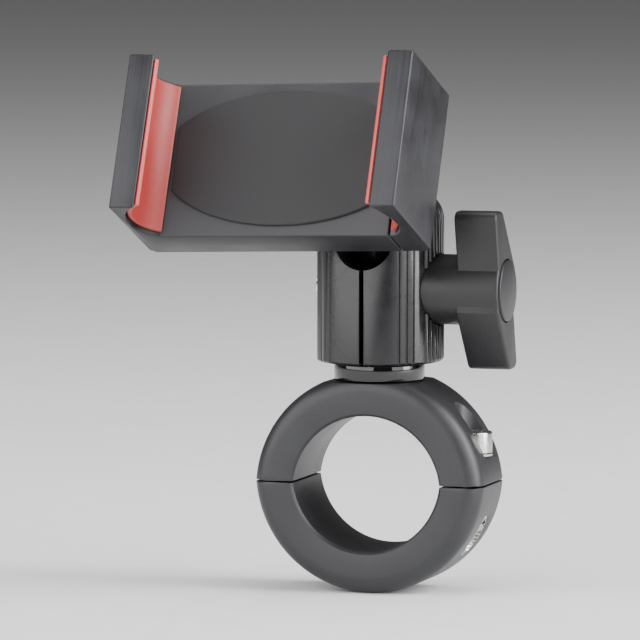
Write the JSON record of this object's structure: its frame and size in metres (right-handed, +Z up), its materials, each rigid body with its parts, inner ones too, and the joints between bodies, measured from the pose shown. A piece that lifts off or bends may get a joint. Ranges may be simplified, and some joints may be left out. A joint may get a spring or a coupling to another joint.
{
  "type": "phone mount",
  "caption": "Spring-jawed phone holder on a ball head that swivels on a two-piece round handlebar clamp and locks with a wing knob at its side.",
  "frame": {"origin": "centre of the handlebar bore, closed on its bar, midway along the clamp", "axes": "+Y along the handlebar bore, away from the phone's screen; +X towards the wing knob; +Z up through the head"},
  "size_m": [0.0836, 0.0631, 0.128],
  "materials": {
    "satin_coating": "satin dark grey coating",
    "gloss_coating": "polished black anodising",
    "black_coating": "semi-gloss black coating",
    "ball_coating": "black coating over steel",
    "brushed_shell": "brushed dark anodising",
    "steel": "plated",
    "brass": "turned",
    "knob_plastic": "pebbled black",
    "smooth_plastic": "smooth black",
    "pad_rubber": "matt dark grey",
    "red_rubber": "matt red"
  },
  "bodies": {
    "clamp_base": {"clamp_upper_half": "satin_coating", "swivel_post": "gloss_coating", "post_screw": "steel", "clamp_washer_left": "steel", "clamp_washer_right": "steel"},
    "lower_half": {"clamp_lower_half": "satin_coating"},
    "left_screw": {"clamp_screw_left": "steel"},
    "right_screw": {"clamp_screw_right": "steel"},
    "head": {"head_body": "black_coating", "clamp_nut": "steel"},
    "knob": {"wing_knob": "knob_plastic", "knob_cap": "smooth_plastic", "clamp_bolt": "steel"},
    "ball": {"ball_stud": "ball_coating", "mounting_disc": "steel", "grip_washer": "smooth_plastic"},
    "holder": {"holder_housing": "brushed_shell", "back_cover": "smooth_plastic", "cover_screw_1": "steel", "cover_screw_2": "steel", "cover_screw_3": "steel", "threaded_insert": "brass", "phone_pad": "pad_rubber", "fixed_jaw_lining": "red_rubber", "lower_spring": "steel", "upper_spring": "steel"},
    "jaw": {"sliding_jaw": "brushed_shell", "sliding_jaw_lining": "red_rubber", "lower_guide_rod": "steel", "upper_guide_rod": "steel"}
  },
  "joints": [
    {"name": "lower_half_drop", "type": "slide", "parent": "clamp_base", "child": "lower_half", "axis": [0, 0, -1], "range_m": [0, 0.0048]},
    {"name": "left_screw_turn", "type": "hinge", "parent": "clamp_base", "child": "left_screw", "pos_m": [-0.0218, 0, 0], "axis": [0, 0, 1], "range_deg": [0, 2170]},
    {"name": "right_screw_turn", "type": "hinge", "parent": "clamp_base", "child": "right_screw", "pos_m": [0.023, 0, 0], "axis": [0, 0, 1], "range_deg": [0, 2170]},
    {"name": "head_pan", "type": "hinge", "parent": "clamp_base", "child": "head", "pos_m": [0, 0, 0.0279], "axis": [0, 0, 1], "continuous": true},
    {"name": "knob_turn", "type": "hinge", "parent": "head", "child": "knob", "pos_m": [0, 0, 0.045], "axis": [1, 0, 0], "range_deg": [0, 540]},
    {"name": "ball_tilt", "type": "hinge", "parent": "head", "child": "ball", "pos_m": [0, 0, 0.05705], "axis": [-0.9978, 0.0663, 0], "range_deg": [-12, 95]},
    {"name": "holder_spin", "type": "hinge", "parent": "ball", "child": "holder", "pos_m": [0, 0, 0.05705], "axis": [-0.06, -0.9036, 0.4242], "continuous": true},
    {"name": "jaw_slide", "type": "slide", "parent": "holder", "child": "jaw", "axis": [0.9982, -0.0521, 0.0303], "range_m": [0, 0.03], "stiffness_N_per_m": 250, "springref_m": -0.012, "deforming": ["lower_spring", "upper_spring"]}
  ],
  "couplings": [
    {"joint": "left_screw_turn", "follows": "lower_half_drop", "rad_per_m": 7854},
    {"joint": "right_screw_turn", "follows": "lower_half_drop", "rad_per_m": 7854}
  ]
}
